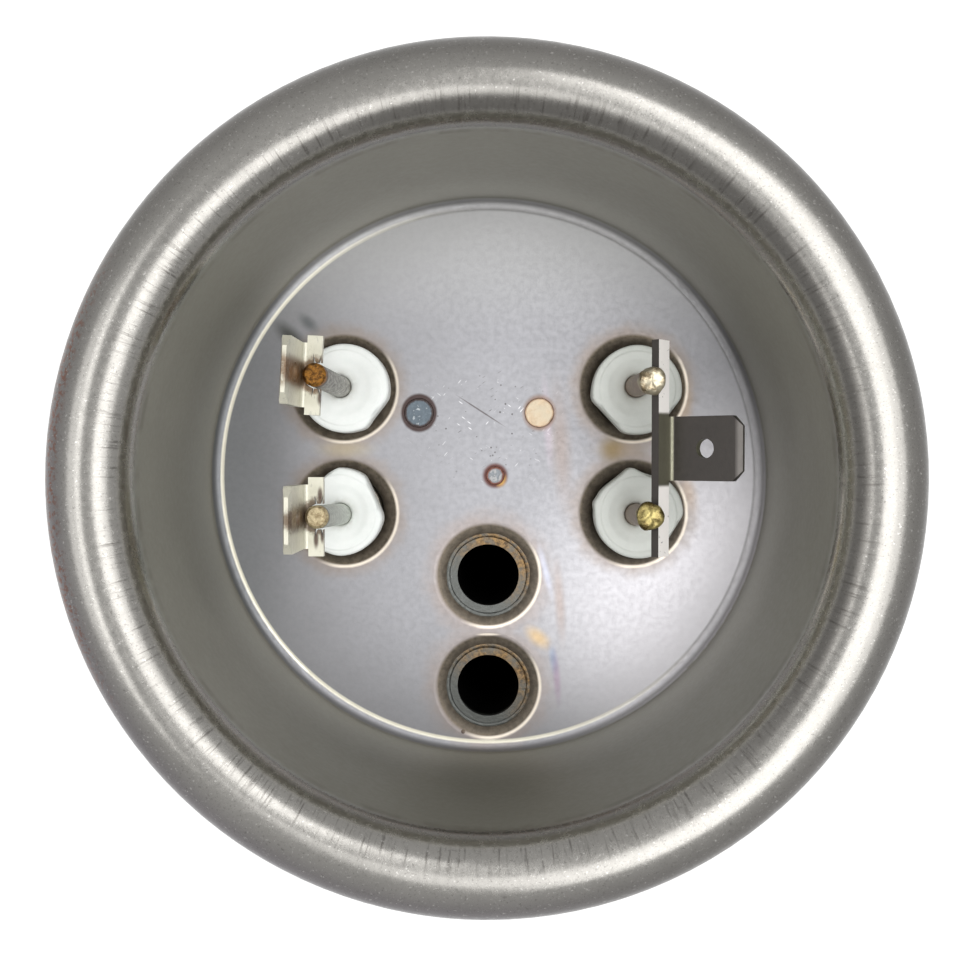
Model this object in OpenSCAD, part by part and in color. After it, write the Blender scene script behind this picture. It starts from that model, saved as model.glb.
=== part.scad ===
// Flanged water heater element: a drawn stainless cup that carries two sheathed
// heating loops, two closed sensor tubes, ceramic beads and push-on terminals.
// +Z points out of the dry side. The origin is on the cup's axis, where the
// straight neck meets the rolled rim. Millimetres.

/* [Flange cup] */
// Outside diameter of the neck that enters the tank
neck_d = 64; // [62:0.5:76]
// Thickness of the drawn sheet
sheet_t = 1.2; // [0.8:0.1:1.5]
// Height of the neck from the dry face of the plate to the rolled rim
cup_depth = 28.1; // [26:0.5:40]
// Inside radius between the plate and the neck
corner_r = 1.1; // [0.6:0.1:1.2]
// Outside radius of the rolled rim, in section
roll_r = 3.8; // [3:0.1:6]
// Straight lip of the rim beyond the roll
rim_lip = 0.8; // [0.4:0.1:2]

/* [Collars] */
// Entry radius of each drawn collar on the dry side
collar_r = 1.9; // [1.6:0.1:2]
// Height of each collar below the dry face of the plate
collar_h = 4.2; // [3.4:0.1:6]

/* [Heating loops] */
// Outside diameter of the heater sheath
sheath_d = 8.5; // [8:0.1:8.7]
// Wall of the heater sheath
sheath_wall = 0.8; // [0.5:0.1:0.9]
// Distance between the two legs of a loop
leg_pitch = 32.2; // [30:0.2:34]
// Distance between the upper and the lower loop
row_pitch = 13.9; // [13.6:0.1:15]
// Height of the midline between the loops above the cup's axis
row_shift = 2.9; // [2.5:0.1:4]
// Length of the upper loop below the plate
upper_reach = 292; // [240:1:400]
// Length of the lower loop below the plate
lower_reach = 276; // [240:1:400]
// How far the open sheath ends stand above the dry face of the plate
sheath_proud = 0.5; // [0.3:0.1:1.5]
// Outside diameter of the wound resistance coil
coil_d = 4; // [3.6:0.1:4.6]
// Wall of the coil, which is the diameter of its wire
coil_wire_d = 0.5; // [0.3:0.05:0.6]
// Length of each terminal pin that the coil is wound on to
coil_grip = 9; // [5:0.5:15]

/* [Terminal pins] */
// Diameter of a terminal pin
pin_d = 2.3; // [2:0.1:2.5]
// Height of the pin tips above the plate
pin_rise = 17.3; // [16.9:0.1:20]
// Length of a pin below the plate, which keeps the sheath ends cold
cold_length = 52; // [35:1:90]
// Chamfer on a pin tip
pin_chamfer = 0.25; // [0.1:0.05:0.4]
// Swelling of a pin where it has been bent aside, above its bead
pin_swell = 0.04; // [0.02:0.01:0.08]

/* [Ceramic beads and seals] */
// Diameter of a bead's head
bead_d = 9.7; // [9:0.1:10.2]
// Thickness of a bead's head
bead_h = 3; // [2.4:0.1:4]
// Diameter of the raised middle of a bead
bead_step_d = 8.3; // [6.5:0.1:8.5]
// Height of the raised middle of a bead
bead_step_h = 0.3; // [0.2:0.1:0.6]
// Depth of a bead's neck inside the sheath
bead_neck_h = 4; // [2:0.5:6]
// Side play of a bead round its pin and in its sheath
bead_slack = 0.6; // [0.4:0.05:0.7]
// Length of the soft seal under a bead
seal_h = 6; // [3:0.5:10]

/* [Sensor tubes] */
// Outside diameter of a sensor tube
sensor_d = 8.5; // [8:0.1:8.6]
// Wall of a sensor tube
sensor_wall = 0.8; // [0.5:0.1:1]
// Distance between the two sensor tubes
sensor_pitch = 12.45; // [12.4:0.05:12.7]
// Land between the lower collar and the curve at the plate's edge
sensor_edge_gap = 0.1; // [0.1:0.1:0.5]
// Length of the sensor tubes below the plate
sensor_reach = 252; // [180:1:260]
// How far the mouths of the sensor tubes lie under the dry face of the plate
sensor_sink = 0.6; // [0.2:0.1:1.2]

/* [Push-on terminals] */
// Width of a push-on blade
blade_w = 6.3; // [4.8:0.1:6.6]
// Thickness of the terminal sheet
blade_t = 0.8; // [0.5:0.1:0.9]
// Length of a blade from the base to its tip
blade_l = 7.6; // [6.5:0.1:8.5]
// Diameter of the catch hole in a blade
blade_hole_d = 1.9; // [1.2:0.1:2.2]
// Distance from the base to the catch hole
blade_hole_up = 3.7; // [3:0.1:4.2]
// Chamfer on the corners of a blade's tip
blade_corner = 1; // [0.6:0.1:1.4]
// Length of the thin bevel on a blade's tip
blade_bevel = 0.7; // [0.4:0.1:0.9]
// Inside radius of the bend between the base and the blade
bend_in_r = 0.4; // [0.3:0.1:0.6]
// Height of a terminal's base above the plate
base_rise = 16.2; // [15:0.1:16.5]
// Width of the base of a single terminal
base_w = 7.75; // [6.8:0.05:9]
// How far the forked base reaches past the pin's axis
fork_reach = 0.5; // [0.3:0.1:1.2]
// Gap between a pin and the terminal welded on to it
weld_gap = 0.12; // [0.1:0.01:0.2]
// Free length between a pin and the foot of its blade
blade_clear = 0.25; // [0.2:0.05:0.6]
// Width of the slits that run out from the fork
slit_w = 0.5; // [0.3:0.1:0.6]
// Length of the slits, from the pin's axis
slit_l = 2.2; // [1.9:0.1:2.6]
// Turn of the upper single terminal about its pin
upper_turn = -3; // [-8:1:8]

/* [Bridge terminal] */
// Length of the strip that joins the two right-hand pins, past each pin's axis
bridge_over = 4; // [3:0.1:5]
// Depth of the strip between its edge and its bend
bridge_base = 2.4; // [2:0.1:3]
// Distance from the pins to the bend
bridge_out = 2.35; // [2.2:0.05:2.6]
// Height of the bend above the plate
bridge_rise = 14.8; // [14:0.1:15]
// How far the bridge is tipped outwards
bridge_tip = 52; // [45:1:60]
// Thickness of the braze cap on a bridged pin
cap_h = 0.55; // [0.3:0.05:0.8]

/* [Anode boss and plugs] */
// Outside diameter of the threaded boss for an anode
boss_d = 10; // [8:0.5:11]
// Height of the boss below the plate
boss_h = 9; // [6:0.5:14]
// Core diameter of the boss's thread
boss_core_d = 4.2; // [3.3:0.1:5]
// Depth of the threaded hole
boss_hole_h = 7.5; // [4:0.5:8]
// Diameter of the boss's pilot, which shows on the dry side
pilot_d = 2; // [1.5:0.1:3]
// Place of the boss to the right of the cup's axis
boss_x = 0.8; // [0:0.1:1.5]
// Distance of the boss above the upper sensor tube
boss_up = 11.15; // [11:0.05:12]
// Diameter of the plugs in the two tooling holes
plug_d = 3.2; // [2.5:0.1:4]
// Distance between the two plugs
plug_pitch = 13.4; // [13:0.1:16]
// Shift of the plugs' midpoint to the right
plug_x = -1; // [-1.5:0.1:0]
// Distance of the plugs above the boss
plug_up = 7; // [6.8:0.1:8]
// Diameter of a plug's head on the wet side
plug_head_d = 4.4; // [4:0.1:5]
// Thickness of a plug's head
plug_head_h = 1; // [0.6:0.1:2]
// Size of the braze fillets round the tubes on the wet side
braze = 0.8; // [0.5:0.1:1]

/* [Hidden] */
$fn = 72;

// Clearance of pieces that slide together before they are brazed or filled
fit = 0.05;
// Overrun of a cutting tool past the face it cuts
over = 1;

// Cup
neck_in_r = neck_d / 2 - sheet_t;
plate_z = -cup_depth;
wet_z = plate_z - sheet_t;
flat_r = neck_in_r - corner_r;

// Heating loops
sheath_r = sheath_d / 2;
bore_r = sheath_r - sheath_wall;
sheath_top = plate_z + sheath_proud;
leg_x = leg_pitch / 2;
upper_y = row_shift + row_pitch / 2;
lower_y = row_shift - row_pitch / 2;
seal_top = sheath_top - bead_neck_h;
fill_top = seal_top - seal_h;
pin_low = plate_z - cold_length;
coil_top = pin_low + coil_grip;
coil_r = coil_d / 2;
coil_in_r = coil_r - coil_wire_d;

// Where each pin stands: upper left, lower left, upper right, lower right
PINS = [[-leg_x, upper_y], [-leg_x, lower_y], [leg_x, upper_y], [leg_x, lower_y]];
// How far each pin's tip has been pushed aside, as right and up
PUSHED = [[-0.6, 0.3], [-0.4, 0.4], [-0.2, -0.3], [-0.4, 0.5]];
// Where each bead has slid within its play, as shares of that play
SLID = [[0.8, -0.3], [-0.3, 0.4], [0.25, -0.65], [0.6, 0]];
// Flats on each bead's head, as pairs of direction and depth
FLATS = [
    [[20, 0.2]],
    [[133, 1.1], [250, 0.3]],
    [[-31, 0.3], [200, 0.2]],
    [[-19, 0.65], [68, 0.45]]
];
pin_r = pin_d / 2;
bead_top = sheath_top + bead_h;
lean_rise = plate_z + pin_rise - bead_top;

// Sensor tubes
sensor_r = sensor_d / 2;
// The sensor tubes' collars have a slightly tighter entry
sensor_collar_r = collar_r - 0.1;
sensor_low_y = -(flat_r - sensor_edge_gap - sensor_r - fit - sensor_collar_r);
sensor_high_y = sensor_low_y + sensor_pitch;
sensor_top = plate_z - sensor_sink;
sensor_low = wet_z - sensor_reach;

// Boss and plugs, which keep their distance from the sensor tubes
boss_y = sensor_high_y + boss_up;
plug_y = boss_y + plug_up;

// Terminals
blade_foot = pin_r + blade_clear;
fork_r = pin_r + weld_gap;
SLIT_TURNS = [80, 103, 257, 280];

// Lean of a pin from upright, and the direction it leans in
function lean(i) = atan(norm(PUSHED[i]) / lean_rise);
function lean_dir(i) = atan2(PUSHED[i].y, PUSHED[i].x);
// Length of a pin's leaning part
function lean_l(i) = norm([lean_rise, PUSHED[i].x, PUSHED[i].y]);
// Centre of a leaning pin at a height above the plate
function pin_at(i, up) =
    PINS[i] + PUSHED[i] * (plate_z + up - bead_top) / lean_rise;

// Places its child on a pin's leaning part, with +Z along the pin
module on_pin(i) {
    translate([PINS[i].x, PINS[i].y, bead_top])
        rotate([0, 0, lean_dir(i)]) rotate([0, lean(i), 0]) children();
}

// Quarter or half of a ring, cut from the ring by a box
module ring_part(outer, inner, low, size) {
    intersection() {
        difference() {
            circle(outer);
            circle(inner);
        }
        translate(low) square(size);
    }
}

// Section of the drawn cup, from its axis to the lip of the rolled rim
module cup_section() {
    corner_out_r = corner_r + sheet_t;
    translate([0, wet_z]) square([flat_r, sheet_t]);
    translate([flat_r, plate_z + corner_r])
        ring_part(corner_out_r, corner_r, [0, -corner_out_r], corner_out_r);
    translate([neck_in_r, plate_z + corner_r]) square([sheet_t, cup_depth - corner_r]);
    translate([neck_in_r + roll_r, 0])
        ring_part(roll_r, roll_r - sheet_t, [-roll_r, 0], [2 * roll_r, roll_r]);
    translate([neck_in_r + 2 * roll_r - sheet_t, -rim_lip]) square([sheet_t, rim_lip]);
}

// Collar drawn down from the plate round a hole, with the plate's own thickness
module collar(hole_r, entry_r) {
    rotate_extrude() {
        translate([hole_r + entry_r, -entry_r])
            ring_part(entry_r, entry_r - sheet_t, [-entry_r, 0], entry_r);
        translate([hole_r, -collar_h]) square([sheet_t, collar_h - entry_r]);
    }
}

// Opening in the flat plate that a collar then fills
module collar_blank(hole_r, entry_r) {
    translate([0, 0, -sheet_t - over])
        cylinder(r = hole_r + entry_r, h = sheet_t + 2 * over);
}

// Copies its child to each of the four places where a pin stands
module at_pins() {
    for (p = PINS) translate([p.x, p.y, plate_z]) children();
}

module at_sensors() {
    for (y = [sensor_low_y, sensor_high_y]) translate([0, y, plate_z]) children();
}

module at_plugs() {
    for (side = [-1, 1])
        translate([plug_x + side * plug_pitch / 2, plug_y, plate_z]) children();
}

module flange_cup() {
    color("silver") {
        difference() {
            rotate_extrude() cup_section();
            at_pins() collar_blank(sheath_r + fit, collar_r);
            at_sensors() collar_blank(sensor_r + fit, sensor_collar_r);
            at_plugs() translate([0, 0, -sheet_t - over])
                cylinder(d = plug_d + 2 * fit, h = sheet_t + 2 * over);
            translate([boss_x, boss_y, wet_z - over])
                cylinder(d = pilot_d + 2 * fit, h = sheet_t + 2 * over);
        }
        at_pins() collar(sheath_r + fit, collar_r);
        at_sensors() collar(sensor_r + fit, sensor_collar_r);
    }
}

// Round bar bent into a loop: two legs joined by a half ring at the bottom
module loop(r, top, reach) {
    bend_z = wet_z - reach + sheath_r + leg_x;
    for (side = [-1, 1])
        translate([side * leg_x, 0, bend_z]) cylinder(r = r, h = top - bend_z);
    translate([0, 0, bend_z]) rotate([-90, 0, 0])
        rotate_extrude(angle = 180) translate([leg_x, 0]) circle(r);
}

module heater_sheath(y, reach) {
    color("lightsteelblue") translate([0, y, 0]) difference() {
        loop(sheath_r, sheath_top, reach);
        loop(bore_r, sheath_top + over, reach);
    }
}

// Pressed magnesia: a shell round the pins and the coil, and a core in the coil
module magnesia_fill(y, reach) {
    color("white") translate([0, y, 0]) {
        difference() {
            loop(bore_r - fit, fill_top, reach);
            loop(coil_r + fit, coil_top + fit, reach);
            for (side = [-1, 1])
                translate([side * leg_x, 0, coil_top - over])
                    cylinder(r = pin_r + fit, h = fill_top - coil_top + 2 * over);
        }
        loop(coil_in_r - fit, pin_low - fit, reach);
    }
}

// The coil's own envelope, gripped on to the ends of its two pins
module heating_coil(y, reach) {
    color("dimgray") translate([0, y, 0]) {
        difference() {
            loop(coil_r, pin_low, reach);
            loop(coil_in_r, pin_low + over, reach);
        }
        for (side = [-1, 1])
            translate([side * leg_x, 0, pin_low]) difference() {
                cylinder(r = coil_r, h = coil_grip);
                translate([0, 0, -over])
                    cylinder(r = pin_r + fit, h = coil_grip + 2 * over);
            }
    }
}

// Pin: straight down to the coil, bent a little where it leaves its bead
module terminal_pin(i) {
    shank = lean_l(i) - pin_chamfer;
    color("tan") {
        translate([PINS[i].x, PINS[i].y, pin_low])
            cylinder(r = pin_r, h = bead_top - pin_low);
        on_pin(i) {
            sphere(pin_r + pin_swell);
            cylinder(r = pin_r, h = shank);
            translate([0, 0, shank])
                cylinder(r1 = pin_r, r2 = pin_r - pin_chamfer, h = pin_chamfer);
        }
    }
}

// Bead: stepped head with its moulding flats, and a neck inside the sheath
module ceramic_bead(i) {
    color("ivory") translate([PINS[i].x, PINS[i].y, sheath_top])
        translate([SLID[i].x * bead_slack, SLID[i].y * bead_slack, 0]) difference() {
            union() {
                cylinder(d = bead_d, h = bead_h - bead_step_h);
                cylinder(d = bead_step_d, h = bead_h);
                translate([0, 0, -bead_neck_h])
                    cylinder(r = bore_r - bead_slack - fit, h = bead_neck_h);
            }
            for (f = FLATS[i])
                rotate([0, 0, f[0]]) translate([bead_d / 2 - f[1], -bead_d / 2, 0])
                    cube([bead_d, bead_d, bead_h + over]);
            translate([0, 0, -bead_neck_h - over])
                cylinder(r = pin_r + bead_slack + fit, h = bead_neck_h + bead_h + 2 * over);
        }
}

module end_seal(i) {
    color("firebrick") translate([PINS[i].x, PINS[i].y, fill_top]) difference() {
        cylinder(r = bore_r - fit, h = seal_h);
        translate([0, 0, -over]) cylinder(r = pin_r + fit, h = seal_h + 2 * over);
    }
}

// Closed tube for a sensor: straight wall, rounded end
module sensor_tube(y) {
    end_z = sensor_low + sensor_r;
    color("lightsteelblue") translate([0, y, 0]) difference() {
        union() {
            translate([0, 0, end_z]) cylinder(r = sensor_r, h = sensor_top - end_z);
            translate([0, 0, end_z]) sphere(sensor_r);
        }
        translate([0, 0, end_z])
            cylinder(r = sensor_r - sensor_wall, h = sensor_top - end_z + over);
        translate([0, 0, end_z]) sphere(sensor_r - sensor_wall);
    }
}

// Section through a terminal's bend and blade. The base runs to the left of the
// corner at the section's origin, and the blade stands up from it.
module blade_section() {
    translate([-bend_in_r, bend_in_r])
        ring_part(bend_in_r + blade_t, bend_in_r, [0, -bend_in_r - blade_t],
            bend_in_r + blade_t);
    bevel_in = blade_t / 4;
    polygon([
        [0, bend_in_r], [blade_t, bend_in_r], [blade_t, blade_l - blade_bevel],
        [blade_t - bevel_in, blade_l], [bevel_in, blade_l], [0, blade_l - blade_bevel]
    ]);
}

// Blade with its bend, chamfered corners, bevelled tip and catch hole
module blade() {
    corner_side = blade_corner * sqrt(2);
    difference() {
        rotate([90, 0, 0]) translate([0, 0, -blade_w / 2])
            linear_extrude(blade_w) blade_section();
        for (side = [-1, 1])
            translate([blade_t / 2, side * blade_w / 2, blade_l]) rotate([45, 0, 0])
                cube([blade_t + 2 * over, corner_side, corner_side], center = true);
        translate([-over, 0, blade_hole_up]) rotate([0, 90, 0])
            cylinder(d = blade_hole_d, h = blade_t + 2 * over);
    }
}

// Base strip of a terminal, which ends where the bend begins
module base_strip(depth, width) {
    translate([-depth, -width / 2, -blade_t])
        cube([depth - bend_in_r, width, blade_t]);
}

// Slot for a pin, open towards the edge of the base, with slits that run out of it
module fork_cut() {
    translate([0, 0, -blade_t - over]) {
        cylinder(r = fork_r, h = blade_t + 2 * over);
        translate([-fork_reach - over, -fork_r, 0])
            cube([fork_reach + over, 2 * fork_r, blade_t + 2 * over]);
        linear_extrude(blade_t + 2 * over)
            for (turn = SLIT_TURNS) rotate(turn)
                polygon([[0, -slit_w / 2], [slit_l, 0], [0, slit_w / 2]]);
    }
}

module single_terminal(i, turn) {
    at = pin_at(i, base_rise);
    color("gainsboro") translate([at.x, at.y, plate_z + base_rise]) rotate([0, 0, 180 + turn])
        difference() {
            translate([blade_foot, 0, 0]) {
                blade();
                base_strip(blade_foot + fork_reach, base_w);
            }
            fork_cut();
        }
}

// One strip on both right-hand pins, with one blade, tipped outwards
module bridge_terminal() {
    upper = pin_at(2, base_rise);
    lower = pin_at(3, base_rise);
    mid_x = (upper.x + lower.x) / 2;
    mid_y = (upper.y + lower.y) / 2;
    strip_l = upper.y - lower.y + 2 * bridge_over;
    color("dimgray") difference() {
        translate([mid_x + bridge_out, mid_y, plate_z + bridge_rise])
            rotate([0, bridge_tip, 0]) {
                blade();
                base_strip(bridge_base, strip_l);
            }
        for (i = [2, 3]) on_pin(i) cylinder(r = fork_r, h = lean_rise + over);
    }
}

// Low dome of braze that closes the joint on a bridged pin's tip
module braze_cap(i) {
    cap_r = pin_r - pin_chamfer;
    dome_r = (cap_r * cap_r + cap_h * cap_h) / (2 * cap_h);
    color("gold") on_pin(i) translate([0, 0, lean_l(i)]) intersection() {
        translate([0, 0, cap_h - dome_r]) sphere(dome_r);
        cylinder(r = cap_r, h = cap_h);
    }
}

// Braze fillet under a collar, round a tube
module braze_ring(tube_r) {
    translate([0, 0, -collar_h]) rotate_extrude()
        difference() {
            translate([tube_r, -braze]) square(braze);
            translate([tube_r + braze, -braze]) circle(braze);
        }
}

module anode_boss() {
    color("silver") translate([boss_x, boss_y, wet_z]) difference() {
        union() {
            translate([0, 0, -boss_h]) cylinder(d = boss_d, h = boss_h);
            cylinder(d = pilot_d, h = sheet_t);
        }
        translate([0, 0, -boss_h - over]) cylinder(d = boss_core_d, h = boss_hole_h + over);
    }
}

module plate_plug(side) {
    color("slategray")
        translate([plug_x + side * plug_pitch / 2, plug_y, wet_z - plug_head_h]) {
            cylinder(d = plug_head_d, h = plug_head_h);
            translate([0, 0, plug_head_h]) cylinder(d = plug_d, h = sheet_t);
        }
}

flange_cup();
heater_sheath(upper_y, upper_reach);  // heater_sheath_upper
heater_sheath(lower_y, lower_reach);  // heater_sheath_lower
magnesia_fill(upper_y, upper_reach);  // magnesia_fill_upper
magnesia_fill(lower_y, lower_reach);  // magnesia_fill_lower
heating_coil(upper_y, upper_reach);  // heating_coil_upper
heating_coil(lower_y, lower_reach);  // heating_coil_lower
terminal_pin(0);  // terminal_pin_upper_left
terminal_pin(1);  // terminal_pin_lower_left
terminal_pin(2);  // terminal_pin_upper_right
terminal_pin(3);  // terminal_pin_lower_right
ceramic_bead(0);  // ceramic_bead_upper_left
ceramic_bead(1);  // ceramic_bead_lower_left
ceramic_bead(2);  // ceramic_bead_upper_right
ceramic_bead(3);  // ceramic_bead_lower_right
end_seal(0);  // end_seal_upper_left
end_seal(1);  // end_seal_lower_left
end_seal(2);  // end_seal_upper_right
end_seal(3);  // end_seal_lower_right
sensor_tube(sensor_high_y);  // sensor_tube_upper
sensor_tube(sensor_low_y);  // sensor_tube_lower
single_terminal(0, upper_turn);  // blade_terminal_upper
single_terminal(1, 0);  // blade_terminal_lower
bridge_terminal();
braze_cap(2);  // braze_cap_upper
braze_cap(3);  // braze_cap_lower
color("goldenrod") at_pins() braze_ring(sheath_r);  // sheath_braze_rings
color("goldenrod") at_sensors() braze_ring(sensor_r);  // sensor_braze_rings
anode_boss();
plate_plug(-1);  // plate_plug_left
plate_plug(1);  // plate_plug_right
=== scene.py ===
"""Looks for the flanged water heater element: materials, light, camera and fine detail.

All lengths of the part are in metres. Inside the materials they are in millimetres.
"""
import math

import bmesh
import bpy
from mathutils import Matrix, Vector, noise


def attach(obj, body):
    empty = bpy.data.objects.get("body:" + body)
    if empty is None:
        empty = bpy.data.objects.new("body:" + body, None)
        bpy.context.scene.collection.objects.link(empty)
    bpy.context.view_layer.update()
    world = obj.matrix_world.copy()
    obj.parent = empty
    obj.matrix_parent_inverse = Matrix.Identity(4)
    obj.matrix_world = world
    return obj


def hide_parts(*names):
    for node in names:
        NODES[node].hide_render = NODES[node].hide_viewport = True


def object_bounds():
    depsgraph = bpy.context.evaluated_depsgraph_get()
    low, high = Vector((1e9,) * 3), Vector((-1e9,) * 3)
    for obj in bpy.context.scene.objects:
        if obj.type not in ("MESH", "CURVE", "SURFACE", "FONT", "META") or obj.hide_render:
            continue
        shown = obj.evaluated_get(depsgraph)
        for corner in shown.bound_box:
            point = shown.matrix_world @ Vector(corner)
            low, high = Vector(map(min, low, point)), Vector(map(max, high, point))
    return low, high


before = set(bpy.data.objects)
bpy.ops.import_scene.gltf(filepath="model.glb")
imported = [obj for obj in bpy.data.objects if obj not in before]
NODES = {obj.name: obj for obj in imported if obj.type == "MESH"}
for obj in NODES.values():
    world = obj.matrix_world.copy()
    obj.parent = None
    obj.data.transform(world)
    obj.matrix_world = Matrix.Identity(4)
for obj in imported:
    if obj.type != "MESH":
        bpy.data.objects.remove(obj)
cad_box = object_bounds()
MM = 0.001

# Heights of the plate's dry face and of the rim's top above the origin, in mm
PLATE_Z = -28.1
WET_Z = -29.3
# Hole centres in the plate: four sheaths, two sensor tubes
SHEATHS = [(-16.1, 9.85), (-16.1, -4.05), (16.1, 9.85), (16.1, -4.05)]
SENSORS = [(0.0, -11.05), (0.0, -23.5)]


def srgb(r, g, b):
    """A colour written as 0-255 screen values, as the linear colour that shaders take."""
    def linear(v):
        v /= 255
        return v / 12.92 if v <= 0.04045 else ((v + 0.055) / 1.055) ** 2.4
    return (linear(r), linear(g), linear(b), 1.0)


class Look:
    """One procedural material, written a node at a time. Positions are in mm."""

    def __init__(self, name, metallic=0.0, **fixed):
        self.mat = bpy.data.materials.new(name)
        self.mat.use_nodes = True
        self.tree = self.mat.node_tree
        self.tree.nodes.clear()
        self.shader = self.add("ShaderNodeBsdfPrincipled")
        self.shader.inputs["Metallic"].default_value = metallic
        for key, value in fixed.items():
            self.shader.inputs[key.replace("_", " ").title()].default_value = value
        out = self.add("ShaderNodeOutputMaterial")
        self.tree.links.new(self.shader.outputs[0], out.inputs["Surface"])
        place = self.add("ShaderNodeTexCoord").outputs["Object"]
        scaled = self.add("ShaderNodeVectorMath", operation="SCALE")
        scaled.inputs["Scale"].default_value = 1000
        self.tree.links.new(place, scaled.inputs[0])
        self.p = scaled.outputs[0]
        split = self.add("ShaderNodeSeparateXYZ")
        self.tree.links.new(self.p, split.inputs[0])
        self.x, self.y, self.z = split.outputs

    def add(self, kind, **settings):
        node = self.tree.nodes.new(kind)
        for key, value in settings.items():
            setattr(node, key, value)
        return node

    def put(self, socket, value):
        if isinstance(value, bpy.types.NodeSocket):
            self.tree.links.new(value, socket)
        elif value is not None:
            socket.default_value = value

    def math(self, operation, a, b=None, c=None, clamp=False):
        node = self.add("ShaderNodeMath", operation=operation, use_clamp=clamp)
        for socket, value in zip(node.inputs, (a, b, c)):
            self.put(socket, value)
        return node.outputs[0]

    def times(self, *values):
        result = values[0]
        for value in values[1:]:
            result = self.math("MULTIPLY", result, value)
        return result

    def plus(self, *values):
        result = values[0]
        for value in values[1:]:
            result = self.math("ADD", result, value)
        return result

    def inverse(self, a):
        return self.math("SUBTRACT", 1.0, a)

    def vector(self, x, y, z):
        node = self.add("ShaderNodeCombineXYZ")
        for socket, value in zip(node.inputs, (x, y, z)):
            self.put(socket, value)
        return node.outputs[0]

    def stretch(self, vector, x, y, z):
        node = self.add("ShaderNodeVectorMath", operation="MULTIPLY")
        self.put(node.inputs[0], vector)
        node.inputs[1].default_value = (x, y, z)
        return node.outputs[0]

    def turned(self, degrees):
        """The position, turned about the cup's axis."""
        node = self.add("ShaderNodeVectorRotate", rotation_type="Z_AXIS")
        self.put(node.inputs["Vector"], self.p)
        node.inputs["Angle"].default_value = math.radians(degrees)
        return node.outputs[0]

    def noise(self, vector, scale, detail=2.0, rough=0.5, distort=0.0):
        node = self.add("ShaderNodeTexNoise")
        self.put(node.inputs["Vector"], vector)
        for key, value in (("Scale", scale), ("Detail", detail), ("Roughness", rough),
                           ("Distortion", distort)):
            node.inputs[key].default_value = value
        return node.outputs["Fac"]

    def cells(self, vector, scale, jitter=1.0):
        node = self.add("ShaderNodeTexVoronoi")
        self.put(node.inputs["Vector"], vector)
        node.inputs["Scale"].default_value = scale
        node.inputs["Randomness"].default_value = jitter
        return node.outputs["Distance"]

    def step(self, value, low, high, to_low=0.0, to_high=1.0):
        """Smooth change from one value to another while the input goes from low to high."""
        node = self.add("ShaderNodeMapRange", interpolation_type="SMOOTHSTEP")
        for key, item in (("Value", value), ("From Min", low), ("From Max", high),
                          ("To Min", to_low), ("To Max", to_high)):
            self.put(node.inputs[key], item)
        return node.outputs[0]

    def band(self, value, low, high, soft):
        rise = self.step(value, low - soft, low + soft)
        fall = self.step(value, high - soft, high + soft, 1.0, 0.0)
        return self.times(rise, fall)

    def mix(self, share, a, b, blend="MIX"):
        node = self.add("ShaderNodeMix", data_type="RGBA", blend_type=blend)
        self.put(node.inputs["Factor"], share)
        self.put(node.inputs[6], a)
        self.put(node.inputs[7], b)
        return node.outputs[2]

    def ramp(self, value, stops):
        node = self.add("ShaderNodeValToRGB")
        self.put(node.inputs[0], value)
        points = node.color_ramp.elements
        while len(points) < len(stops):
            points.new(0.5)
        for point, (place, colour) in zip(points, stops):
            point.position = place
            point.color = colour
        return node.outputs[0]

    def distance(self, x, y):
        """Distance from an upright line, seen along Z."""
        dx = self.math("SUBTRACT", self.x, x)
        dy = self.math("SUBTRACT", self.y, y)
        squares = self.plus(self.times(dx, dx), self.times(dy, dy))
        return self.math("SQRT", squares)

    def smallest(self, values):
        result = values[0]
        for value in values[1:]:
            result = self.math("MINIMUM", result, value)
        return result

    def blob(self, x, y, wide, high=None, turn=0.0, soft=0.5):
        """One at a place on the plate, fading to nothing at an ellipse's edge."""
        high = high or wide
        cos, sin = math.cos(math.radians(turn)), math.sin(math.radians(turn))
        dx = self.math("SUBTRACT", self.x, x)
        dy = self.math("SUBTRACT", self.y, y)
        along = self.plus(self.times(dx, cos / wide), self.times(dy, sin / wide))
        across = self.plus(self.times(dx, -sin / high), self.times(dy, cos / high))
        far = self.math("SQRT", self.plus(self.times(along, along), self.times(across, across)))
        return self.step(far, 1.0 - soft, 1.0, 1.0, 0.0)

    def bump(self, height, depth, strength=1.0, under=None):
        """Relief whose full height is given in mm."""
        node = self.add("ShaderNodeBump")
        node.inputs["Strength"].default_value = strength
        node.inputs["Distance"].default_value = depth * MM
        self.put(node.inputs["Height"], height)
        if under is not None:
            self.put(node.inputs["Normal"], under)
        return node.outputs[0]

    def finish(self, colour=None, rough=None, normal=None):
        self.put(self.shader.inputs["Base Color"], colour)
        self.put(self.shader.inputs["Roughness"], rough)
        self.put(self.shader.inputs["Normal"], normal)
        return self.mat


def give(material, *names):
    """Puts a material on every slot of the CAD nodes whose names start like this."""
    for name, node in NODES.items():
        if not name.startswith(names):
            continue
        if not node.data.materials:
            node.data.materials.append(material)
        for slot in node.material_slots:
            slot.material = material


# Tips of the four pins, and the centres and outlines of their beads
PIN_TIPS = {"upper_left": (-16.7, 10.15), "lower_left": (-16.5, -3.65),
            "upper_right": (15.9, 9.55), "lower_right": (15.7, -3.55)}
TIP_Z = -10.8
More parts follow.
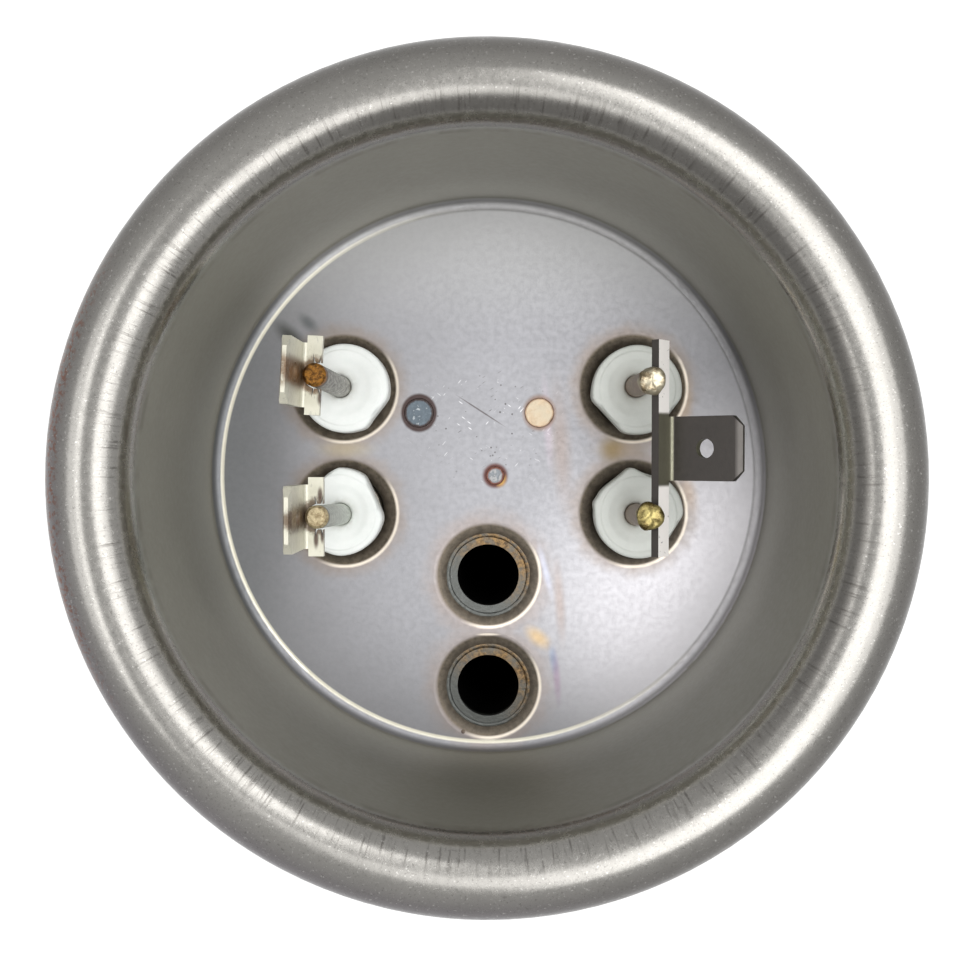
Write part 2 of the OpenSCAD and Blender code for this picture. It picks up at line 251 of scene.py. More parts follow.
# Each bead: bore centre, head centre, chords as (direction, depth), bumps as
# (direction, width, height)
BEADS = {
    "upper_left": ((-16.1, 9.85), (-15.62, 9.67), [(-38, 0.42)], [(-60, 9, 0.1)]),
    "lower_left": ((-16.1, -4.05), (-16.28, -3.81), [(24, 0.62), (128, 0.95)],
                   [(105, 10, 0.15), (250, 14, -0.2)]),
    "upper_right": ((16.1, 9.85), (16.25, 9.46), [(-38, 0.5), (222, 0.6)],
                    [(190, 12, 0.12), (88, 20, 0.06)]),
    "lower_right": ((16.1, -4.05), (16.46, -4.05), [(-32, 0.7), (72, 0.4), (128, 0.25)],
                    [(100, 9, 0.3), (166, 6, 0.2)]),
}
BEAD_R = 4.85
BEAD_TOP = -24.6


def drawn_cup():
    look = Look("drawn_cup", metallic=1.0)
    r = look.distance(0.0, 0.0)
    cos = look.math("DIVIDE", look.x, r)
    sin = look.math("DIVIDE", look.y, r)
    around = look.vector(cos, sin, 0.0)
    plate = look.times(look.step(look.z, -29.0, -28.9), look.step(look.z, -27.6, -27.2, 1.0, 0.0))
    roll = look.step(look.z, -0.6, 1.0)
    inner = look.step(r, 31.3, 31.5, 1.0, 0.0)

    # Base tones of wall, plate and roll, with soft clouds, and painted light on them: painted shade
    # and light on the wall and plate, and painted shade towards the roll's edge
    clouds = look.noise(look.p, 0.12, 3, 0.6)
    fine = look.noise(look.p, 1.6, 4, 0.65)
    wall_tone = look.mix(clouds, srgb(138, 136, 126), srgb(154, 152, 142))
    # painted shade: the wall is darker on one side, set by direction round the cup
    shade = look.step(look.plus(look.times(sin, -0.75), look.times(cos, 0.35)), 0.1, 0.9)
    wall_tone = look.mix(look.times(shade, 0.35), wall_tone, srgb(108, 110, 100))
    # painted light: the wall is lighter towards the bottom, a painted reflection of the bright plate
    painted_foot_light = look.step(look.z, -27, -14, 1.0, 0.0)
    wall_tone = look.mix(look.times(painted_foot_light, 0.6), wall_tone, srgb(178, 176, 168))
    # painted shade: the plate is darker towards its left
    left = look.step(look.x, -29, -19, 1.0, 0.0)
    plate_tone = look.mix(clouds, srgb(142, 142, 145), srgb(156, 156, 160))
    plate_tone = look.mix(look.times(left, 0.6), plate_tone, srgb(118, 121, 123))
    # painted highlight: a broad bright patch towards the lower right of the plate
    bright = look.step(look.distance(29, -16), 8, 30, 1.0, 0.0)
    plate_tone = look.mix(look.times(bright, 0.9), plate_tone, srgb(212, 210, 214))
    # painted light: the plate is lighter towards the top
    top = look.step(look.y, 14, 28)
    plate_tone = look.mix(look.times(top, 0.6), plate_tone, srgb(190, 190, 190))
    roll_tone = look.mix(clouds, srgb(126, 124, 120), srgb(142, 140, 136))
    # painted shade: the roll darkens towards its outer edge, with a painted purplish reflection
    # towards the lower left
    roll_edge_shade_tone = look.mix(clouds, srgb(84, 83, 80), srgb(102, 98, 96))
    painted_purplish_reflection = look.step(look.plus(look.times(cos, -0.7), look.times(sin, -0.7)), 0.2, 0.9)
    roll_edge_shade_tone = look.mix(look.times(painted_purplish_reflection, 0.5), roll_edge_shade_tone, srgb(98, 92, 102))
    roll_tone = look.mix(look.step(r, 34.6, 38.3), roll_tone, roll_edge_shade_tone)
    colour = look.mix(roll, wall_tone, roll_tone)

    # Draw streaks over the bend between wall and roll, and pits on the roll
    streak_place = look.vector(look.times(cos, 95.0), look.times(sin, 95.0),
                               look.times(look.z, 0.35))
    streaks = look.noise(streak_place, 1.0, 4, 0.7)
    bend = look.times(look.band(look.z, 2.2, 3.5, 0.4), look.step(r, 33.8, 35.0, 1.0, 0.0))
    colour = look.mix(look.times(look.step(streaks, 0.52, 0.68), bend, 0.62), colour,
                      srgb(58, 54, 50))
    pits = look.step(look.noise(look.p, 4.5, 3, 0.7), 0.56, 0.7)
    colour = look.mix(look.times(pits, roll, 0.45), colour, srgb(66, 63, 60))
    sparks = look.step(look.noise(look.p, 3.4, 3, 0.7), 0.6, 0.72)
    colour = look.mix(look.times(sparks, roll, 0.4), colour, srgb(206, 204, 200))

    throat_side = look.step(r, 32.6, 33.0, 1.0, 0.0)

    # Broken smudge where the wall ends, and a painted highlight line above it
    patches = look.step(look.noise(look.stretch(around, 7, 7, 1), 1.0, 3, 0.6), 0.42, 0.62)
    smudge = look.times(look.band(look.z, -1.3, -0.2, 0.4), patches, inner, 0.3)
    colour = look.mix(smudge, colour, srgb(84, 78, 68))
    # painted highlight: a bright line where the wall turns into the roll
    colour = look.mix(look.times(look.band(look.z, 0.7, 2.1, 0.4), throat_side, 0.9), colour,
                      srgb(200, 197, 189))

    # Rust at the left of the rim's edge
    rust_side = look.step(cos, -0.97, -0.82, 1.0, 0.0)
    rust_spots = look.step(look.noise(look.p, 2.2, 3, 0.7), 0.5, 0.57)
    rust = look.times(rust_side, look.step(r, 36.0, 37.2), rust_spots, 0.85)
    colour = look.mix(rust, colour, srgb(104, 62, 44))

    # Plate: dark and bright speckle, short scratches and one long one near the middle
    middle = look.blob(0.0, 6.0, 11, 9, soft=0.8)
    dots = look.step(look.cells(look.p, 1.3), 0.1, 0.16, 1.0, 0.0)
    some = look.step(look.noise(look.p, 0.9, 2), 0.47, 0.55)
    plate_tone = look.mix(look.times(dots, some, middle, 0.75), plate_tone, srgb(58, 52, 50))
    for turn, seed_scale, white in ((35, 0.55, True), (-50, 0.47, True), (-33, 0.6, False)):
        place = look.stretch(look.turned(turn), 1.0, 7.0, 1.0)
        ticks = look.step(look.cells(place, seed_scale), 0.1, 0.2, 1.0, 0.0)
        sparse = look.step(look.noise(look.turned(turn * 2), 0.55, 2), 0.55, 0.62)
        tone = srgb(232, 232, 234) if white else srgb(84, 80, 80)
        plate_tone = look.mix(look.times(ticks, sparse, middle, 0.8), plate_tone, tone)
    long_scratch = look.blob(-0.8, 7.3, 3.9, 0.11, turn=-33, soft=0.6)
    plate_tone = look.mix(look.times(long_scratch, 0.8), plate_tone, srgb(88, 82, 82))

    # Heat tints left by brazing: around each collar, and between neighbours; two dark marks beside
    # the upper-left blade are painted shade of that blade
    near_heater = look.smallest([look.distance(x, y) for x, y in SHEATHS])
    near_sensor = look.smallest([look.distance(x, y) for x, y in SENSORS])
    wander = look.noise(look.p, 0.5, 3, 0.6)
    heater_halo = look.step(look.plus(near_heater, look.times(wander, 1.8)), 6.6, 8.8, 1.0, 0.0)
    plate_tone = look.mix(look.times(heater_halo, 0.55), plate_tone, srgb(146, 130, 116))
    sensor_halo = look.step(look.plus(near_sensor, look.times(wander, 2.2)), 6.4, 9.4, 1.0, 0.0)
    plate_tone = look.mix(look.times(sensor_halo, 0.45), plate_tone, srgb(158, 140, 128))
    for x, y, wide, high, turn, soft, share, tone in (
            (8.1, 3.5, 1.62, 9.77, 4, 0.95, 0.34, srgb(150, 124, 104)),
            (6.6, 6.0, 0.75, 6.9, 4, 0.95, 0.3, srgb(196, 176, 188)),
            (13.8, 3.0, 2.12, 2.18, 0, 0.95, 0.75, srgb(122, 104, 58)),
            (15.2, 3.0, 5.0, 1.61, 0, 0.95, 0.4, srgb(150, 128, 96)),
            (-16.0, 3.05, 4.5, 1.38, 0, 0.95, 0.5, srgb(172, 156, 120)),
            (5.6, -18.0, 2.38, 1.26, -40, 0.95, 0.56, srgb(214, 178, 112)),
            (7.3, -20.4, 0.69, 2.53, 8, 0.95, 0.52, srgb(122, 140, 168)),
            (7.7, -22.6, 0.62, 3.91, 4, 0.95, 0.45, srgb(146, 112, 140)),
            (6.4, -10.5, 0.62, 4.14, 14, 0.95, 0.41, srgb(198, 206, 228)),
            (8.0, -14.0, 0.88, 6.32, 4, 0.95, 0.4, srgb(160, 134, 116)),
            (22.4, -1.8, 1.25, 3.45, 12, 0.95, 0.35, srgb(188, 158, 122)),
            (21.9, 8.0, 1.25, 4.6, -4, 0.95, 0.35, srgb(188, 160, 124)),
            # painted shade: these two dark marks stand for the upper-left blade's shade on the plate
            (-22.0, 15.6, 3.25, 1.38, -42, 0.95, 0.8, srgb(60, 62, 56)),
            (-20.0, 17.1, 2.0, 1.03, -42, 0.95, 0.6, srgb(78, 84, 84)),
            (-2.8, -28.6, 0.28, 0.28, 0, 0.3, 0.9, srgb(56, 36, 30)),
            (-7.7, 7.1, 2.15, 2.3, 0, 0.15, 0.9, srgb(60, 44, 40)),
            (5.7, 7.1, 2.1, 2.3, 0, 0.3, 0.75, srgb(120, 92, 72)),
            (0.8, 0.1, 1.6, 1.6, 0, 0.3, 0.9, srgb(84, 46, 38)),
            (1.5, -0.5, 0.69, 1.03, -30, 0.95, 0.7, srgb(198, 160, 92))):
        mark = look.blob(x, y, wide, high, turn, soft)
        plate_tone = look.mix(look.times(mark, share), plate_tone, tone)
    colour = look.mix(plate, colour, plate_tone)

    # Collars: olive throats, partly heat tint and partly painted shade in the recess, and a painted
    # highlight line on the side that faces the light
    heater_throat = look.step(near_heater, 5.7, 6.15, 1.0, 0.0)
    sensor_throat = look.step(near_sensor, 5.5, 6.0, 1.0, 0.0)
    throat = look.math("MAXIMUM", heater_throat, sensor_throat)
    below = look.step(look.z, -28.3, -28.15, 1.0, 0.0)
    throat = look.times(throat, look.step(r, 29.2, 29.6, 1.0, 0.0),
                        look.step(look.z, -27.6, -27.2, 1.0, 0.0))
    # partly painted shade: the throats are darker where they fall into the recess, over a real
    # brownish tint
    olive = look.mix(look.step(fine, 0.35, 0.65), srgb(82, 74, 60), srgb(112, 102, 86))
    colour = look.mix(look.times(throat, 0.85), colour, olive)
    ring = look.math("MAXIMUM", look.band(near_heater, 5.85, 6.15, 0.14),
                     look.band(near_sensor, 5.65, 5.95, 0.14))
    toward = []
    for x, y in SHEATHS + SENSORS:
        near = look.step(look.distance(x, y), 6.6, 6.9, 1.0, 0.0)
        side = look.plus(look.times(look.math("SUBTRACT", look.x, x), 0.78),
                         look.times(look.math("SUBTRACT", look.y, y), -0.62))
        toward.append(look.times(near, look.step(side, 0.5, 3.6)))
    facing = toward[0]
    for share in toward[1:]:
        facing = look.math("MAXIMUM", facing, share)
    # painted highlight: a bright line on each collar ring, on the side towards the light
    colour = look.mix(look.times(ring, facing, plate, 0.9), colour, srgb(238, 228, 214))
    wall = look.times(look.inverse(roll), look.step(look.z, -27.2, -26.6), inner)
    matt = look.plus(look.times(throat, below, 0.55), look.times(wall, 0.35))
    look.put(look.shader.inputs["Metallic"], look.inverse(matt))
    # painted shade: a dark band where the roll turns in, darker on one side, standing for the cup's
    # dark inside seen in the metal
    painted_shade_side = look.step(look.plus(look.times(sin, 0.6), look.times(cos, 0.8)), -0.3, 0.5)
    turn_in = look.times(look.band(look.z, 2.3, 3.3, 0.3), look.step(r, 34.2, 34.8, 1.0, 0.0))
    colour = look.mix(look.times(turn_in, painted_shade_side, 0.6), colour, srgb(56, 53, 50))
    # painted shade: a dark line in the plate's corner on the right-hand side
    corner_shade_line = look.times(look.band(r, 29.5, 30.6, 0.15), look.band(look.z, -28.2, -26.9, 0.1))
    right = look.step(look.plus(look.times(cos, 0.9), look.times(sin, 0.5)), -0.5, 0.5)
    colour = look.mix(look.times(corner_shade_line, right, 0.5), colour, srgb(92, 90, 88))
    # painted highlight: a bright line in the plate's corner on the other side
    corner_highlight_line = look.times(look.band(r, 29.5, 29.9, 0.1), look.inverse(right),
                             look.band(look.z, -28.2, -27.7, 0.1))
    colour = look.mix(look.times(corner_highlight_line, 0.9), colour, srgb(240, 236, 220))

    grain = look.step(fine, 0.3, 0.7, -0.04, 0.04)
    rough = look.plus(grain, look.step(look.z, -1.0, 0.5, 0.55, 0.25))
    relief = look.bump(fine, 0.006)
    dents = look.bump(look.noise(look.p, 0.55, 3, 0.55), 0.02, 0.6, relief)
    return look.finish(colour, rough, dents)


def plain(name, colour_a, colour_b, metallic, rough_a, rough_b, scale, depth=0.01):
    look = Look(name, metallic=metallic)
    grain = look.noise(look.p, scale, 4, 0.6)
    colour = look.mix(grain, colour_a, colour_b)
    rough = look.step(grain, 0.3, 0.7, rough_a, rough_b)
    return look.finish(colour, rough, look.bump(grain, depth))


def sensor_steel():
    """Tube steel whose mouths are burnt gold on one side and blue grey on the other."""
    look = Look("sensor_steel", metallic=0.8)
    grain = look.noise(look.p, 0.8, 4, 0.6)
    colour = look.mix(grain, srgb(128, 122, 112), srgb(150, 144, 134))
    spots = look.noise(look.p, 2.6, 4, 0.7)
    turn = []
    for x, y in SENSORS:
        near = look.step(look.distance(x, y), 5.6, 6.0, 1.0, 0.0)
        side = look.plus(look.times(look.math("SUBTRACT", look.x, x), 0.6),
                         look.times(look.math("SUBTRACT", look.y, y), 0.8))
        turn.append(look.times(near, look.step(side, -2.5, 3.0)))
    wander = look.step(look.noise(look.p, 0.9, 3, 0.6), 0.3, 0.65, 0.25, 1.0)
    warm = look.times(look.math("MAXIMUM", turn[0], turn[1]), wander)
    mouth = look.mix(spots, srgb(66, 68, 68), srgb(112, 114, 110))
    gold = look.mix(look.step(spots, 0.35, 0.65), srgb(74, 60, 44), srgb(150, 122, 84))
    mouth = look.mix(warm, mouth, gold)
    colour = look.mix(look.step(look.z, -31.0, -29.4), colour, mouth)
    # painted shade: deep inside the tube bores the steel is painted nearly black
    near = look.smallest([look.distance(x, y) for x, y in SENSORS])
    bore = look.times(look.step(near, 3.5, 3.56, 1.0, 0.0), look.step(look.z, -29.9, -29.2, 1.0, 0.0))
    colour = look.mix(bore, colour, srgb(14, 13, 12))
    rough = look.step(spots, 0.3, 0.7, 0.34, 0.6)
    return look.finish(colour, rough, look.bump(spots, 0.06))


def pin_look(name, shank_a, shank_b, tip_a, tip_b, tip_h):
    """A pin with a mottled shank and a burnt end."""
    look = Look(name, metallic=0.75)
    mottle = look.noise(look.p, 2.4, 4, 0.7)
    colour = look.mix(look.step(mottle, 0.38, 0.62), shank_a, shank_b)
    tip = look.mix(look.step(mottle, 0.35, 0.65), tip_a, tip_b)
    edge = look.plus(look.z, look.times(mottle, 0.8))
    at = TIP_Z - tip_h
    colour = look.mix(look.step(edge, at, at + 0.5), colour, tip)
    ring = look.band(edge, at - 0.1, at + 0.5, 0.3)
    colour = look.mix(look.times(ring, 0.6), colour, srgb(48, 38, 30))
    rough = look.step(mottle, 0.3, 0.7, 0.35, 0.6)
    return look.finish(colour, rough, look.bump(mottle, 0.05))


def blade_look(name, at, brown, spikes, patch):
    """Cream nickel plate, burnt round the weld."""
    look = Look(name, metallic=0.3)
    grain = look.noise(look.p, 1.1, 4, 0.6)
    mottle = look.noise(look.p, 2.0, 4, 0.7)
    colour = look.mix(grain, srgb(196, 194, 176), srgb(216, 213, 198))
    wander = look.plus(look.distance(*at), look.times(mottle, 1.2))
    burnt = look.step(wander, 2.1, 2.7, 1.0, 0.0)
    colour = look.mix(look.times(burnt, 0.85), colour, brown)
    for x, y, wide, high in spikes:
        colour = look.mix(look.times(look.blob(x, y, wide, high, 0, 0.7), 0.9), colour,
                          srgb(72, 46, 34))
    x, y, wide, high = patch
    worn = look.times(look.blob(x, y, wide, high, 0, 0.6), look.step(mottle, 0.35, 0.55))
    colour = look.mix(look.times(worn, 0.85), colour, brown)
    scuffs = look.step(look.noise(look.stretch(look.p, 1, 0.3, 1), 3.0, 3, 0.7), 0.58, 0.68)
    colour = look.mix(look.times(scuffs, 0.35), colour, srgb(136, 134, 126))
    rough = look.step(mottle, 0.3, 0.7, 0.3, 0.5)
    return look.finish(colour, rough, look.bump(mottle, 0.03))


def bridge_look():
    """Dark plate. Painted light: its sheared end, which faces up, is painted lighter, the strip's
    face toward the light is painted white and broken by chips, and the bend a mid tone.
    """
    look = Look("dark_plate", metallic=0.7)
    grain = look.noise(look.p, 1.5, 4, 0.6)
    colour = look.mix(grain, srgb(62, 59, 57), srgb(75, 71, 68))
    # painted light: the sheared end is lighter because it faces up
    painted_lit_end = look.step(look.x, 23.6, 24.0)
    colour = look.mix(look.times(painted_lit_end, 0.5), colour, srgb(128, 124, 120))
    facing = look.add("ShaderNodeVectorMath", operation="DOT_PRODUCT")
    look.put(facing.inputs[0], look.add("ShaderNodeNewGeometry").outputs["Normal"])
    facing.inputs[1].default_value = (0.788, 0.0, 0.616)
    strip = look.step(look.x, 20.9, 21.4, 1.0, 0.0)
    chips = look.noise(look.stretch(look.p, 1, 1.6, 1), 1.3, 4, 0.7)
    # painted light: the strip's face turned toward the light is painted white, broken by chipped
    # edges
    painted_lit_face = look.times(look.step(facing.outputs["Value"], 0.8, 0.9), strip)
    painted_lit_face = look.times(painted_lit_face, look.step(chips, 0.3, 0.36))
    middle = look.band(look.y, -0.6, 6.4, 0.25)
    # painted light: the bend is a mid tone where it turns partly toward the light
    bend = look.times(middle, strip, look.step(facing.outputs["Value"], 0.1, 0.4))
    painted_lit_face = look.times(painted_lit_face, look.inverse(middle))
    colour = look.mix(painted_lit_face, colour, srgb(240, 236, 232))
    colour = look.mix(bend, colour, srgb(122, 120, 104))
    look.put(look.shader.inputs["Metallic"], look.step(painted_lit_face, 0.0, 1.0, 0.75, 0.1))
    rough = look.step(grain, 0.3, 0.7, 0.36, 0.5)
    return look.finish(colour, rough, look.bump(grain, 0.02))


def braze_look(name, colour_a, colour_b, metallic=0.7):
    look = Look(name, metallic=metallic)
    mottle = look.noise(look.p, 1.0, 4, 0.6)
    colour = look.mix(look.step(mottle, 0.36, 0.64), colour_a, colour_b)
    rough = look.step(mottle, 0.3, 0.7, 0.18, 0.45)
    return look.finish(colour, rough, look.bump(mottle, 0.12))


def plug_look(name, at, core_a, core_b, ring, radius, scale, low, high):
    """A brazed plug, mottled in the middle and burnt at its edge."""
    look = Look(name, metallic=0.6)
    mottle = look.noise(look.p, scale, 4, 0.6)
    colour = look.mix(look.step(mottle, low, high), core_a, core_b)
    edge = look.plus(look.distance(*at), look.times(mottle, 0.3))
    colour = look.mix(look.step(edge, radius - 0.1, radius + 0.15), colour, ring)
    steel = look.mix(mottle, srgb(120, 119, 116), srgb(146, 145, 141))
    colour = look.mix(look.step(look.z, -29.2, -28.9, 1.0, 0.0), colour, steel)
    rough = look.step(mottle, 0.3, 0.7, 0.3, 0.6)
    return look.finish(colour, rough, look.bump(mottle, 0.07))


def steatite():
    look = Look("steatite", metallic=0.0)
    grain = look.noise(look.p, 1.2, 4, 0.6)
    right = look.step(look.x, -1, 1)
    white = look.mix(grain, srgb(232, 237, 234), srgb(246, 248, 246))
    grey = look.mix(grain, srgb(208, 212, 206), srgb(224, 227, 222))
    colour = look.mix(right, white, grey)
    # painted shadow: the beads are darker round each pin
    near = look.smallest([look.distance(x, y) for x, y in SHEATHS])
    painted_pin_shadow = look.times(look.step(near, 1.1, 2.4, 1.0, 0.0), look.step(grain, 0.3, 0.6), 0.35)
    colour = look.mix(painted_pin_shadow, colour, srgb(168, 166, 152))
    rough = look.step(grain, 0.3, 0.7, 0.42, 0.6)
    return look.finish(colour, rough, look.bump(grain, 0.02))


def skin(name, rings, closed):
    """A mesh through rings of points in mm. An open one is capped at both ends."""
    count = len(rings[0])
    faces = []
    for i in range(len(rings) if closed else len(rings) - 1):
        j = (i + 1) % len(rings)
        for k in range(count):
            m = (k + 1) % count
            faces.append((i * count + k, i * count + m, j * count + m, j * count + k))
    if not closed:
        faces.append(tuple(range(count)))
        faces.append(tuple(range((len(rings) - 1) * count, len(rings) * count)))
    mesh = bpy.data.meshes.new(name)
    mesh.from_pydata([[v * MM for v in p] for ring in rings for p in ring], [], faces)
    shape = bmesh.new()
    shape.from_mesh(mesh)
    bmesh.ops.recalc_face_normals(shape, faces=shape.faces)
    for face in shape.faces:
        face.smooth = True
    shape.to_mesh(mesh)
    shape.free()
    piece = bpy.data.objects.new(name, mesh)
    bpy.context.scene.collection.objects.link(piece)
    return piece


def dress(piece, slot, material, *nodes):
    piece.data.materials.append(material)
    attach(piece, "root")
    if nodes:
        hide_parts(*nodes)


def bead(place, material):
    """Bead with its moulded steps, uneven outline and a bore that closes on its pin."""
    bore, centre, chords, bumps = BEADS[place]
    bore_r = 1.2
    soft = 0.1
    neck_r = 2.75
    neck_z = -7.0

    def outline(degrees):
        radius = BEAD_R
        for turn, depth in chords:
            away = math.radians((degrees - turn + 180) % 360 - 180)
            if abs(away) < 1.2:
                flat = (BEAD_R - depth) / math.cos(away)
                radius = -soft * math.log(math.exp(-radius / soft) + math.exp(-flat / soft))
        for turn, width, rise in bumps:
            away = (degrees - turn + 180) % 360 - 180
            radius += rise * math.exp(-(away / width) ** 2)
        return radius

    profile = [(0.0, neck_z), (0.0, -0.6), (0.03, -0.4), (0.1, -0.28), (0.3, -0.18),
               (0.45, -0.1), (0.5, -0.03), (0.58, 0.0), (0.76, 0.0), (0.79, -0.02),
               (0.81, -0.1), (0.84, -0.12), (0.93, -0.16), (0.975, -0.28), (0.995, -0.5),
               (1.0, -0.8), (1.0, -2.8), (0.985, -2.95)]
    round_share = 0.84
    angles = [i * 3 for i in range(120)]
    rings = []
    for share, drop in profile:
        ring = []
        for degrees in angles:
            edge = outline(degrees)
            radius = bore_r + (edge - bore_r) * share
            if share <= round_share:
                whole = bore_r + (BEAD_R - bore_r) * share
                radius = min(whole, edge - 0.1 - (round_share - share) * 0.6)
            x = bore[0] + (centre[0] - bore[0]) * share
            y = bore[1] + (centre[1] - bore[1]) * share
            turn = math.radians(degrees)
            ring.append((x + radius * math.cos(turn), y + radius * math.sin(turn),
                         BEAD_TOP + drop))
        rings.append(ring)
    for drop in (-3.0, neck_z):
        rings.append([(centre[0] + neck_r * math.cos(math.radians(a)),
                       centre[1] + neck_r * math.sin(math.radians(a)), BEAD_TOP + drop)
                      for a in angles])
    dress(skin("bead_" + place, rings, True), "steatite", material, "ceramic_bead_" + place)


def braze_lump(place, material, seed):
    """Uneven drop of braze on a bridged pin's tip."""
    x, y = PIN_TIPS[place]
    rings = []
    for radius, rise in ((1.14, -0.9), (1.2, -0.7), (1.27, -0.35), (1.3, 0.0), (1.22, 0.25),
                         (1.0, 0.44), (0.7, 0.55), (0.35, 0.6), (0.08, 0.61)):
        ring = []
        for i in range(40):
            turn = i / 40 * math.tau
            spot = Vector((math.cos(turn) * radius * 1.1, math.sin(turn) * radius * 1.1,
                           rise * 1.4 + seed))
            push = 0.2 * noise.noise(spot)
            grow = 1 + push + 0.1 * max(0.0, math.cos(turn)) * (rise > -0.5)
            ring.append((x + radius * grow * math.cos(turn), y + radius * grow * math.sin(turn),
                         TIP_Z + rise + 0.3 * noise.noise(spot * 1.7)))
        rings.append(ring)
    dress(skin("braze_lump_" + place, rings, False), "brass_braze", material,
          "braze_cap_" + place.split("_")[0])


def braze_lip(name, at, material, seed):
    """Braze that has risen between a sensor tube's mouth and its collar."""
    around = 120
    rings = []
    for i in range(around):
        turn = i / around * math.tau
        lump = noise.noise(Vector((3 * math.cos(turn), 3 * math.sin(turn), seed)))
        fine_lump = noise.noise(Vector((9 * math.cos(turn), 9 * math.sin(turn), seed)))
        middle = 4.55 + 0.05 * lump
        wide = 0.46 + 0.05 * fine_lump
        high = 0.44 + 0.05 * lump + 0.05 * fine_lump
        rings.append([(at[0] + (middle + wide * math.cos(a)) * math.cos(turn),
                       at[1] + (middle + wide * math.cos(a)) * math.sin(turn),
                       -29.2 + high * math.sin(a))
                      for a in [k / 14 * math.tau for k in range(14)]])
    dress(skin(name, rings, True), "nickel_braze", material)


give(drawn_cup(), "flange_cup")
give(plain("tube_steel", srgb(128, 122, 112), srgb(150, 144, 134), 1.0, 0.32, 0.45, 0.8),
     "heater_sheath")
SENSOR_STEEL = sensor_steel()
give(SENSOR_STEEL, "sensor_tube")
give(plain("magnesia", srgb(232, 230, 222), srgb(240, 239, 234), 0.0, 0.8, 0.9, 2), "magnesia")
give(plain("wire", srgb(92, 88, 84), srgb(120, 114, 108), 1.0, 0.5, 0.6, 3), "heating_coil")
give(pin_look("pin_upper_left", srgb(112, 108, 102), srgb(196, 194, 188), srgb(84, 56, 28),
              srgb(166, 116, 50), 1.0), "terminal_pin_upper_left")
give(pin_look("pin_lower_left", srgb(176, 180, 172), srgb(214, 218, 210), srgb(150, 132, 100),
              srgb(206, 192, 158), 0.5), "terminal_pin_lower_left")
give(pin_look("pin_right", srgb(112, 92, 78), srgb(168, 150, 136), srgb(150, 128, 96),
              srgb(206, 188, 150), 0.9), "terminal_pin_upper_right", "terminal_pin_lower_right")
STEATITE = steatite()
give(STEATITE, "ceramic_bead")
give(plain("silicone", srgb(150, 70, 52), srgb(170, 84, 62), 0.0, 0.55, 0.7, 1.5), "end_seal")
give(blade_look("blade_upper", (-16.7, 10.15), srgb(104, 74, 42), [(-16.2, 7.9, 0.5, 1.0)],
                (-18.7, 10.2, 1.7, 2.0)), "blade_terminal_upper")
give(blade_look("blade_lower", (-16.5, -3.65), srgb(88, 66, 44),
                [(-16.7, -5.9, 0.35, 1.2), (-16.3, -1.5, 0.35, 1.0), (-16.1, -5.6, 0.25, 0.9),
                 (-18.75, -3.9, 0.3, 0.9)], (-18.3, -3.7, 1.2, 1.0)), "blade_terminal_lower")
give(bridge_look(), "bridge_terminal")
BRASS = braze_look("brass_braze", srgb(96, 82, 44), srgb(172, 158, 102))
give(BRASS, "braze_cap")
give(plain("nickel_braze", srgb(140, 130, 116), srgb(164, 154, 138), 1.0, 0.4, 0.55, 2),
     "sheath_braze", "sensor_braze")
give(plug_look("anode_boss", (0.8, 0.1), srgb(112, 116, 120), srgb(160, 160, 160),
               srgb(96, 56, 44), 0.9, 2.2, 0.45, 0.6), "anode_boss")
give(plug_look("plug_left", (-7.7, 7.1), srgb(92, 102, 110), srgb(176, 182, 186),
               srgb(54, 42, 40), 1.5, 1.9, 0.58, 0.66), "plate_plug_left")
give(plug_look("plug_right", (5.7, 7.1), srgb(164, 146, 122), srgb(200, 188, 166),
               srgb(120, 92, 72), 1.6, 0.7, 0.35, 0.7), "plate_plug_right")
for bead_place in BEADS:
    bead(bead_place, STEATITE)
braze_lump("upper_right", braze_look("pale_braze", srgb(140, 124, 98), srgb(196, 188, 166)), 3.1)
braze_lump("lower_right", BRASS, 8.4)
braze_lip("braze_lip_upper", SENSORS[0], SENSOR_STEEL, 1.7)
braze_lip("braze_lip_lower", SENSORS[1], SENSOR_STEEL, 5.2)


def stage():
    """A pale floor under the part and a pale sky. Both are white to the camera and to metal."""
    bottom = cad_box[0][2] - 0.004
    data = bpy.data.meshes.new("floor")
    size = 6.0
    data.from_pydata([(-size, -size, bottom), (size, -size, bottom), (size, size, bottom),
                      (-size, size, bottom)], [], [(0, 1, 2, 3)])
    floor = bpy.data.objects.new("floor", data)
    bpy.context.scene.collection.objects.link(floor)
    mat = bpy.data.materials.new("floor")
    mat.use_nodes = True
    tree = mat.node_tree
    tree.nodes.clear()
    out = tree.nodes.new("ShaderNodeOutputMaterial")
    pale = tree.nodes.new("ShaderNodeBsdfDiffuse")
    pale.inputs["Color"].default_value = (0.86, 0.86, 0.85, 1)
    glow = tree.nodes.new("ShaderNodeEmission")
    both = tree.nodes.new("ShaderNodeAddShader")
    seen = white_for_sight(tree)
    scaled = tree.nodes.new("ShaderNodeMath")
    scaled.operation = "MULTIPLY"
    scaled.inputs[1].default_value = 0.62
    tree.links.new(seen, scaled.inputs[0])
    tree.links.new(scaled.outputs[0], glow.inputs["Strength"])
    tree.links.new(pale.outputs[0], both.inputs[0])
    tree.links.new(glow.outputs[0], both.inputs[1])
    tree.links.new(both.outputs[0], out.inputs["Surface"])
    data.materials.append(mat)

    world = bpy.data.worlds.new("sky")
    bpy.context.scene.world = world
    world.use_nodes = True
    tree = world.node_tree
    back = tree.nodes["Background"]
    back.inputs["Color"].default_value = (1.0, 1.0, 1.0, 1)
    seen = white_for_sight(tree)
    level = tree.nodes.new("ShaderNodeMapRange")
    level.inputs["To Min"].default_value = 0.55
    level.inputs["To Max"].default_value = 1.0
    tree.links.new(seen, level.inputs["Value"])
    tree.links.new(level.outputs[0], back.inputs["Strength"])


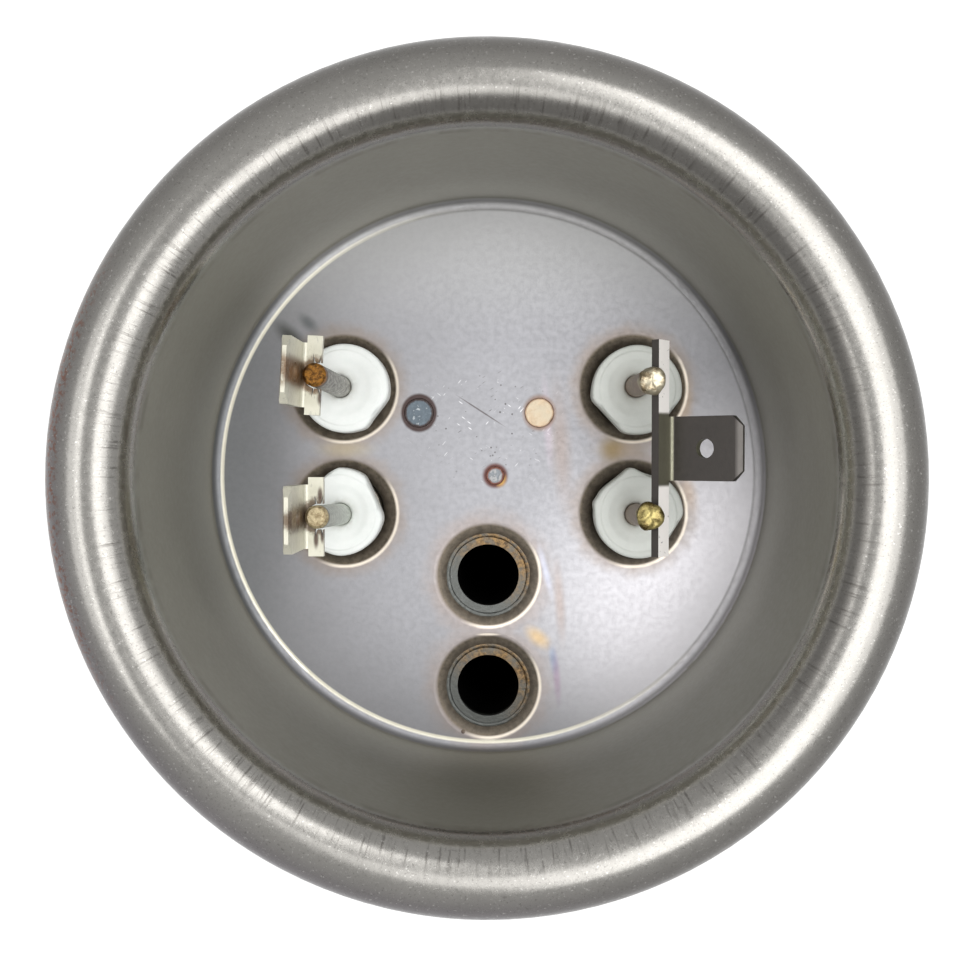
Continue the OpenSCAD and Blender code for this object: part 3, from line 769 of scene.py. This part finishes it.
def white_for_sight(tree):
    """One for camera, mirror and transmission rays, and zero for the rest."""
    path = tree.nodes.new("ShaderNodeLightPath")
    result = path.outputs["Is Camera Ray"]
    for kind in ("Is Glossy Ray", "Is Transmission Ray"):
        node = tree.nodes.new("ShaderNodeMath")
        node.operation = "MAXIMUM"
        tree.links.new(result, node.inputs[0])
        tree.links.new(path.outputs[kind], node.inputs[1])
        result = node.outputs[0]
    return result


def softbox(name, place, aim, wide, high, level, tint=(1, 1, 1)):
    """An area light with a given brightness of its face."""
    data = bpy.data.lights.new(name, "AREA")
    data.shape = "RECTANGLE"
    data.size = wide
    data.size_y = high
    data.energy = level * wide * high * math.pi
    data.color = tint
    light = bpy.data.objects.new(name, data)
    light.location = place
    light.rotation_euler = (Vector(aim) - Vector(place)).to_track_quat("-Z", "Y").to_euler()
    light.visible_camera = False
    bpy.context.scene.collection.objects.link(light)


def camera():
    """The photograph's own viewpoint, 130 mm above the plate, fitted to its circles."""
    data = bpy.data.cameras.new("camera")
    data.lens = 36 * 1165.7 / 970
    data.sensor_width = 36
    data.clip_start = 0.004
    data.clip_end = 50
    cam = bpy.data.objects.new("camera", data)
    turn = Matrix.Rotation(math.radians(1.34), 3, "X") @ Matrix.Rotation(math.radians(-0.65), 3, "Y")
    cam.matrix_world = (Matrix.Translation((1.13 * MM, 2.10 * MM, 101.9 * MM))
                        @ turn.transposed().to_4x4())
    bpy.context.scene.collection.objects.link(cam)
    bpy.context.scene.camera = cam


stage()
camera()
softbox("right_box", (0.040, -0.006, 0.112), (0.040, -0.006, 0.0), 0.064, 0.160, 3.8)
softbox("far_right_box", (0.104, 0.004, 0.112), (0.104, 0.004, 0.0), 0.064, 0.160, 2.4)
softbox("low_box", (-0.004, -0.038, 0.112), (-0.004, -0.038, 0.0), 0.030, 0.050, 2.0)
softbox("left_box", (-0.069, -0.005, 0.112), (-0.069, -0.005, 0.0), 0.030, 0.085, 3.4)
softbox("far_left_box", (-0.116, 0.000, 0.112), (-0.116, 0.000, 0.0), 0.050, 0.100, 1.7)

bpy.context.scene.view_settings.view_transform = "Standard"
